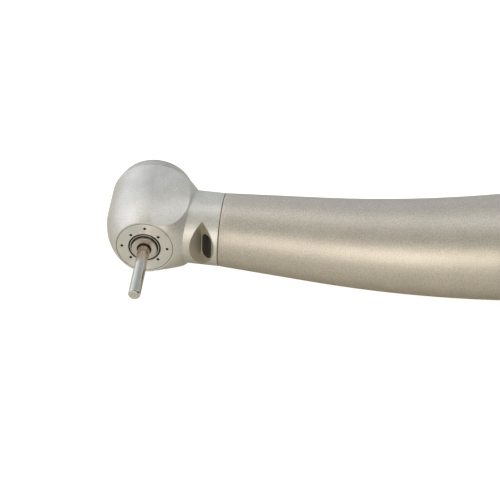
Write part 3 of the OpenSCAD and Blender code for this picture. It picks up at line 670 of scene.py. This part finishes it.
def station(run):
    """Frame of the handle's section at a distance from the rotor axis."""
    turn = bend * min(1, max(0, 1 - (run - neck_run) / arc_run))
    if run < neck_run:
        point = bend_point(bend) + (neck_run - run) * Vector((-math.cos(bend), math.sin(bend), 0))
    elif run > neck_run + arc_run:
        point = Vector((run - path_length, 0, 0))
    else:
        point = bend_point(turn)
    across = Vector((math.sin(turn), math.cos(turn), 0))
    return place(point, across, up, across.cross(up))


print("handle path", round(path_length / mm, 2), "mm, widest", round(2 * widest_radius / mm, 2), "mm")

# %% Sweep the handle
def piece(name, bm, material, body, slot, *replaced, soft_angle=35):
    """Turns a finished bmesh into a piece that rides on a body and stands for solids."""
    mesh = bpy.data.meshes.new(name)
    bm.to_mesh(mesh)
    bm.free()
    mesh.shade_smooth()
    mesh.set_sharp_from_angle(angle=math.radians(soft_angle))
    mesh.materials.append(material)
    made = bpy.data.objects.new(name, mesh)
    bpy.context.scene.collection.objects.link(made)
    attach(made, body)
    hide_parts(*replaced)
    print(name, "faces:", len(mesh.polygons))
    return made


def sweep(places, sides, marks):
    """A circle extruded from place to place, each ring marked with a number, such as its distance."""
    bm = bmesh.new()
    layer = bm.verts.layers.float.new(along_name)
    ring = bmesh.ops.create_circle(bm, segments=sides, radius=1)["verts"]
    bmesh.ops.transform(bm, matrix=places[0], verts=ring)
    first_edges = bm.edges[:]
    edges = first_edges
    for vert in ring:
        vert[layer] = marks[0]
    for before, here, mark in zip(places, places[1:], marks[1:]):
        grown = bmesh.ops.extrude_edge_only(bm, edges=edges)["geom"]
        ring = [item for item in grown if isinstance(item, bmesh.types.BMVert)]
        lines = [item for item in grown if isinstance(item, bmesh.types.BMEdge)]
        edges = [line for line in lines if set(line.verts) <= set(ring)]
        bmesh.ops.transform(bm, matrix=here @ before.inverted(), verts=ring)
        for vert in ring:
            vert[layer] = mark
    return bm, first_edges, edges


seam_gap = 0.04 * mm
lip = 0.12 * mm
lip_steps = 4
skin_steps = 90
bore_steps = 24
around_steps = 96
spigot_length, spigot_play = 6.5 * mm, 0.2 * mm
spigot_run = neck_length + spigot_length
spigot_bore = neck_radius - wall + spigot_play
socket_length = 31.5 * mm
socket_run = path_length - socket_length
socket_bore = tail_radius - wall


def lip_ring(run, radius, toward_rear, share):
    """Ring on a rounded edge: a quarter circle from the skin, at 0, to the end face, at 1."""
    swing = share * math.pi / 2
    shift = lip * (1 - math.sin(swing))
    return (run + (shift if toward_rear else -shift), radius - lip * (1 - math.cos(swing)))


front_run = neck_length + seam_gap
rear_run = path_length - flange - seam_gap
shares = [k / lip_steps for k in range(lip_steps + 1)]
skin_span = rear_run - front_run - 2 * lip
skin_runs = [front_run + lip + skin_span * k / skin_steps for k in range(1, skin_steps)]
bore_runs = [socket_run - (socket_run - spigot_run) * k / bore_steps for k in range(1, bore_steps)]
rings = [lip_ring(front_run, skin_radius(front_run), True, share) for share in reversed(shares)]
rings += [(run, skin_radius(run)) for run in skin_runs]
rings += [lip_ring(rear_run, skin_radius(rear_run), False, share) for share in shares]
rings += [(rear_run, socket_bore), (socket_run, socket_bore)]
rings += [(run, skin_radius(run) - wall) for run in bore_runs]
rings += [(spigot_run, spigot_bore), (front_run, spigot_bore)]

ring_places = [station(run) @ Matrix.Diagonal((radius, radius, 1, 1)) for run, radius in rings]
bm, first_edges, last_edges = sweep(ring_places, around_steps, [run / mm for run, radius in rings])
bmesh.ops.bridge_loops(bm, edges=last_edges + first_edges)
bmesh.ops.recalc_face_normals(bm, faces=bm.faces)
piece("handle_skin", bm, sheath_metal, "handpiece", "sheath_metal", "handle_sheath")

# %% [markdown]
# ## The head
# Head and neck are one machined piece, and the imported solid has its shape. On the real head
# the flanks run out of the round part without a mark, while the solid has a faint edge there.
# So a copy of the solid, without its stored normals and with its doubled corners merged, is cut
# into a grid round that edge, and the grid's points are smoothed. Each smoothing step is
# followed by one the other way, a little stronger, so that the edge goes and the roundness
# stays.

# %% Head
flank_from, flank_to, flank_step = -1.5, 3.5, 0.25
flank_low, flank_high, flank_rise = 0.3, 10.7, 0.4
smooth_rounds, smooth_in, smooth_out = 40, 0.5, -0.53
soft_flank = 20
inside_nose, inside_rise, inside_most = 4.0, 0.35, 5.2
same_point = 1e-4 * mm


def outer_radius(height):
    """A distance from the rotor axis between the bores and the outside of the head."""
    return min(inside_most, inside_nose + inside_rise * height)


def on_flank(vert):
    """Whether a point of the head lies on its outside where a flank starts."""
    x, y, z = vert.co / mm
    outside = math.hypot(x, y) > outer_radius(z)
    return outside and flank_from < x < flank_to and flank_low < z < flank_high


def cut_across(bm, place_mm, direction):
    """Cuts the whole mesh with a plane and leaves both sides."""
    geom = bm.verts[:] + bm.edges[:] + bm.faces[:]
    point = place_mm * mm * direction
    bmesh.ops.bisect_plane(bm, geom=geom, dist=same_point, plane_co=point, plane_no=direction)


plain_copy = nodes["head_housing"].data.copy()
stored_normals = plain_copy.attributes.get("custom_normal")
if stored_normals:
    plain_copy.attributes.remove(stored_normals)
bm = bmesh.new()
bm.from_mesh(plain_copy)
bpy.data.meshes.remove(plain_copy)
bmesh.ops.remove_doubles(bm, verts=bm.verts, dist=same_point)
bmesh.ops.transform(bm, matrix=rotor_place.inverted(), verts=bm.verts)
for k in range(round((flank_to - flank_from) / flank_step) + 1):
    cut_across(bm, flank_from + k * flank_step, Vector((1, 0, 0)))
for k in range(round((flank_high - flank_low) / flank_rise) + 1):
    cut_across(bm, flank_low + k * flank_rise, Vector((0, 0, 1)))
flank = [vert for vert in bm.verts if on_flank(vert)]
for k in range(smooth_rounds):
    for factor in (smooth_in, smooth_out):
        bmesh.ops.smooth_vert(
            bm, verts=flank, factor=factor, use_axis_x=True, use_axis_y=True, use_axis_z=True,
        )
bmesh.ops.transform(bm, matrix=rotor_place, verts=bm.verts)
piece(
    "head_shell", bm, head_metal, "handpiece", "head_metal", "head_housing", soft_angle=soft_flank,
)

# %% [markdown]
# ## Turned pieces
# Cap, button, bur blank and socket come off a lathe, so each is a half section spun round an
# axis. The section is drawn in millimetres, as radius and height. Its sharp edges are then
# bevelled, since real edges are broken and catch a fine line of light.

# %% Lathe helper
lathe_steps = 96
edge_steps = 3
round_profile = 0.5
sharp_edge = math.radians(30)


def rounded(bm, geom, offset, steps, affect):
    """Rounds edges or corners of a mesh by an offset in millimetres."""
    bmesh.ops.bevel(
        bm, geom=geom, offset=offset * mm, offset_type="OFFSET", segments=steps,
        profile=round_profile, affect=affect, clamp_overlap=True, material=-1,
    )


def turned(name, section, edge, where, material, body, slot, *replaced):
    """A piece spun from a closed half section, with its sharp edges rounded."""
    bm = bmesh.new()
    corners = [bm.verts.new((radius * mm, 0, height * mm)) for radius, height in section]
    for here, after in zip(corners, corners[1:] + corners[:1]):
        bm.edges.new((here, after))
    bmesh.ops.spin(
        bm, geom=bm.verts[:] + bm.edges[:], cent=(0, 0, 0), axis=(0, 0, 1),
        angle=2 * math.pi, steps=lathe_steps, use_merge=True,
    )
    bmesh.ops.remove_doubles(bm, verts=bm.verts, dist=same_point)
    bmesh.ops.recalc_face_normals(bm, faces=bm.faces)
    joined = [line for line in bm.edges if len(line.link_faces) == 2]
    sharp = [line for line in joined if line.calc_face_angle() > sharp_edge]
    rounded(bm, sharp, edge, edge_steps, "EDGES")
    bmesh.ops.transform(bm, matrix=where, verts=bm.verts)
    piece(name, bm, material, body, slot, *replaced)


# %% [markdown]
# ### Cap and button
# The cap screws into the head from behind and holds the rear bearing. Its rim stands round a
# push button, which opens the chuck. The button's face is hollowed a little for the thumb.

# %% Cap and button
cap_bottom, cap_seat, cap_floor, cap_well = 8.08, 10.97, 10.71, 11.01
cap_top, cap_base, cap_rim, rim_height = 13.21, 5.65, 5.19, 0.65
cap_seam = 0.1
cap_thread, cap_bore, well_radius, cap_hole = 4.75, 3.3, 4.0, 1.7
rim_round, rim_in, rim_down = 0.6, 0.3, 0.35
cap_edge = 0.06
ring_low, ring_high, ring_deep = 12.21, 12.51, 0.3
turned(
    "cap_shell",
    [
        (cap_bore, cap_bottom), (cap_thread, cap_bottom), (cap_thread, cap_seat),
        (cap_base - cap_seam, cap_seat), (cap_base, cap_seat + cap_seam),
        (cap_rim, cap_top - rim_height),
        (cap_rim - rim_round * rim_in, cap_top - rim_height * rim_down),
        (cap_rim - rim_round, cap_top), (well_radius, cap_top), (well_radius, ring_high),
        (well_radius + ring_deep, ring_high), (well_radius + ring_deep, ring_low),
        (well_radius, ring_low),
        (well_radius, cap_well), (cap_hole, cap_well), (cap_hole, cap_floor), (cap_bore, cap_floor),
    ],
    cap_edge, rotor_place, cap_metal, "handpiece", "cap_metal", "head_cap",
)
button_radius, button_flange, flange_low, flange_high = 3.5, 3.9, 11.61, 12.2
button_top, button_edge = 13.36, 0.08
dish_radius, dish_deep, dish_bend, dish_bend_deep, dish_flat = 3.0, 0.18, 0.75, 0.7, 0.4
post_radius, post_end, spring_roof, spring_room = 0.9, 11.17, 12.11, 3.35
turned(
    "button_dish",
    [
        (0, post_end), (post_radius, post_end), (post_radius, spring_roof), (spring_room, spring_roof),
        (spring_room, flange_low), (button_flange, flange_low), (button_flange, flange_high),
        (button_radius, flange_high), (button_radius, button_top), (dish_radius, button_top),
        (dish_radius * dish_bend, button_top - dish_deep * dish_bend_deep),
        (dish_radius * dish_flat, button_top - dish_deep), (0, button_top - dish_deep),
    ],
    button_edge, rotor_place, button_metal, "button", "button_metal", "push_button",
)

# %% [markdown]
# ### Bur blank
# The pin in the chuck is a plain round shank with a small chamfer at each end. It is ground
# and polished. It is painted a little brown in the chuck and for some millimetres in front of
# it: a painted warm reflection of the nose, with painted shade.

# %% Bur blank
blank_radius, blank_tip, blank_end, blank_chamfer, blank_edge = 0.8, -10.3, 8.7, 0.2, 0.04
turned(
    "bur_pin",
    [
        (0, blank_tip), (blank_radius - blank_chamfer, blank_tip),
        (blank_radius, blank_tip + blank_chamfer), (blank_radius, blank_end - blank_chamfer),
        (blank_radius - blank_chamfer, blank_end), (0, blank_end),
    ],
    blank_edge, rotor_place, blank_steel, "bur", "blank_steel", "bur_blank",
)

# %% [markdown]
# ### Coupling socket
# The socket closes the rear of the handle. A quick coupler on the hose goes into its bore,
# and the groove inside takes the coupler's latch. It is a turned steel sleeve.

# %% Coupling socket
socket_place = place(Vector((0, 0, 0)), up, Vector((0, 1, 0)), Vector((-1, 0, 0)))
mouth_radius, rear_radius, rear_cut, sleeve_radius = 4.5, 6.9, 0.3, 6.05
mouth_depth, plug_depth, plug_radius = 24, 27, 5.2
latch_start, latch_end, latch_deep = 8, 9.2, 0.3
seal_start, seal_end, seal_bottom = 4.0, 4.5, 5.81
socket_edge = 0.08
turned(
    "socket_sleeve",
    [
        (mouth_radius, 0), (rear_radius - rear_cut, 0), (rear_radius, rear_cut),
        (rear_radius, flange / mm),
        (sleeve_radius, flange / mm), (sleeve_radius, seal_start), (seal_bottom, seal_start),
        (seal_bottom, seal_end), (sleeve_radius, seal_end), (sleeve_radius, plug_depth),
        (plug_radius, plug_depth), (plug_radius, mouth_depth), (mouth_radius, mouth_depth),
        (mouth_radius, latch_end), (mouth_radius + latch_deep, latch_end),
        (mouth_radius + latch_deep, latch_start), (mouth_radius, latch_start),
    ],
    socket_edge, socket_place, finishes["socket_steel"], "handpiece", "socket_steel", "coupling_socket",
)

# %% [markdown]
# ## Light window
# The window is a block of glass with rounded corners, set flush in the rear face of the
# notch. A grid of one face gets its corners bevelled, is extruded to a block, and its front
# rim is rounded.

# %% Light window
window_wide, window_long, window_deep, window_corner = 1.72, 3.65, 1.1, 0.817
window_middle, window_rim = 0.94, 0.04
corner_steps, rim_steps = 8, 4
notch_across, notch_along = 3.4, 7.47
notch_lean = math.radians(38.6)
window_place = (
    neck_place
    @ Matrix.Translation((notch_across * mm, 0, notch_along * mm))
    @ Matrix.Rotation(math.pi / 2 + notch_lean, 4, "Y")
    @ Matrix.Translation((-window_middle * mm, 0, -window_deep * mm))
)
bm = bmesh.new()
bmesh.ops.create_grid(bm, x_segments=1, y_segments=1, size=mm / 2)
bmesh.ops.scale(bm, vec=(window_wide, window_long, 1), verts=bm.verts)
rounded(bm, bm.verts[:], window_corner, corner_steps, "VERTICES")
raised = bmesh.ops.extrude_face_region(bm, geom=bm.faces[:])["geom"]
front_verts = [item for item in raised if isinstance(item, bmesh.types.BMVert)]
bmesh.ops.translate(bm, vec=(0, 0, window_deep * mm), verts=front_verts)
bmesh.ops.recalc_face_normals(bm, faces=bm.faces)
front_rim = [line for line in bm.edges if all(vert in front_verts for vert in line.verts)]
rounded(bm, front_rim, window_rim, rim_steps, "EDGES")
bmesh.ops.transform(bm, matrix=window_place, verts=bm.verts)
piece("window_lens", bm, finishes["window_glass"], "handpiece", "window_glass", "light_window")

# %% [markdown]
# ## Button spring
# Under the button lies a flat conical coil. It is swept as the handle is, along a spiral that
# climbs and closes in. When the button goes down, the coil has to flatten on the cap's floor.

# %% Button spring
wire_radius, coil_wide, coil_close, coil_turns = 0.13, 3.05, 1.95, 1.8
coil_low, coil_high = 11.15, 11.97
coil_steps = 72
wire_sides = 12


def coil_place(share):
    """Place of the wire's section at a share of the coil's length."""
    turn = Matrix.Rotation(2 * math.pi * coil_turns * share, 4, "Z")
    out = coil_wide + (coil_close - coil_wide) * share
    shift = Matrix.Translation((out * mm, 0, (coil_low + (coil_high - coil_low) * share) * mm))
    size = Matrix.Diagonal((wire_radius * mm, wire_radius * mm, mm, 1))
    return rotor_place @ turn @ shift @ Matrix.Rotation(math.pi / 2, 4, "X") @ size


coil_shares = [k / coil_steps for k in range(coil_steps + 1)]
coil_places = [coil_place(share) for share in coil_shares]
bm, first_edges, last_edges = sweep(coil_places, wire_sides, coil_shares)
bmesh.ops.holes_fill(bm, edges=first_edges + last_edges, sides=wire_sides)
bmesh.ops.recalc_face_normals(bm, faces=bm.faces)
button_coil = piece(
    "button_coil", bm, finishes["spring_steel"], "handpiece", "spring_steel", "button_spring",
)
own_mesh(button_coil)
